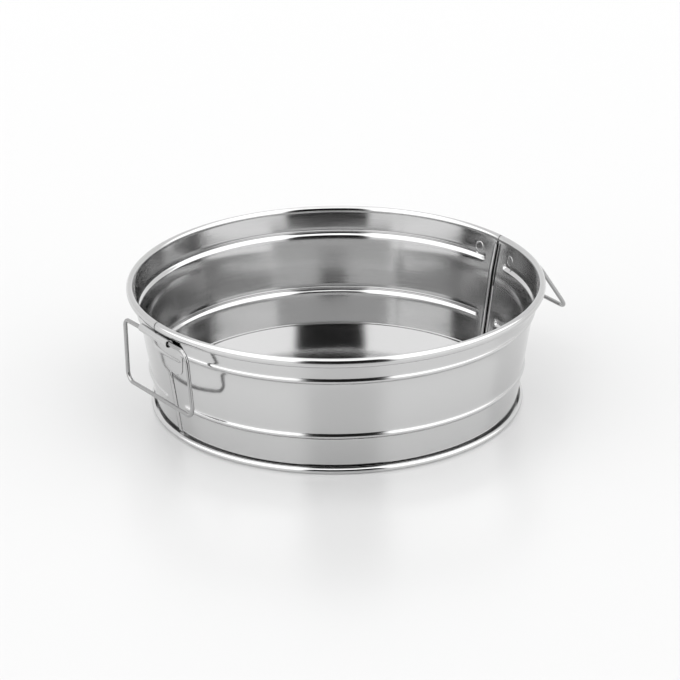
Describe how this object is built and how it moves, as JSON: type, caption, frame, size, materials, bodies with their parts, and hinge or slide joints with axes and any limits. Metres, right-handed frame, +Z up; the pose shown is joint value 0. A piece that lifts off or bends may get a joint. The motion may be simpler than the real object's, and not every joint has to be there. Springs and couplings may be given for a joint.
{
  "type": "steel tub",
  "caption": "Round, shallow tub of mirror-polished stainless steel with a wired rim, beaded sloping wall, seamed base and a wire drop handle on each side.",
  "frame": {"origin": "on the tub's axis, in the plane that its base hem stands on", "axes": "+Z up along the tub's axis; +X from the axis through the seam, ear and handle that stand out at rest; -X through the other seam, ear and handle"},
  "size_m": [0.3276, 0.3, 0.092],
  "materials": {
    "polished_sheet": "mirror-polished stainless steel sheet",
    "polished_base": "mirror-polished stainless steel sheet, faintly stretched",
    "ear_sheet": "bright stainless steel strip",
    "core_wire": "drawn steel wire, hidden in the rim",
    "handle_wire": "bright drawn stainless steel wire"
  },
  "bodies": {
    "tub": {"shell_front": "polished_sheet", "shell_back": "polished_sheet", "base_pan": "polished_base", "rim_wire": "core_wire", "ear_left": "ear_sheet", "ear_right": "ear_sheet"},
    "handle_left": {"handle_left": "handle_wire"},
    "handle_right": {"handle_right": "handle_wire"}
  },
  "joints": [
    {"name": "handle_left_swing", "type": "hinge", "parent": "tub", "child": "handle_left", "pos_m": [-0.1494, 0, 0.0824], "axis": [0, 1, 0], "range_deg": [-11, 198]},
    {"name": "handle_right_swing", "type": "hinge", "parent": "tub", "child": "handle_right", "pos_m": [0.1494, 0, 0.0824], "axis": [0, -1, 0], "range_deg": [-43, 166]}
  ]
}
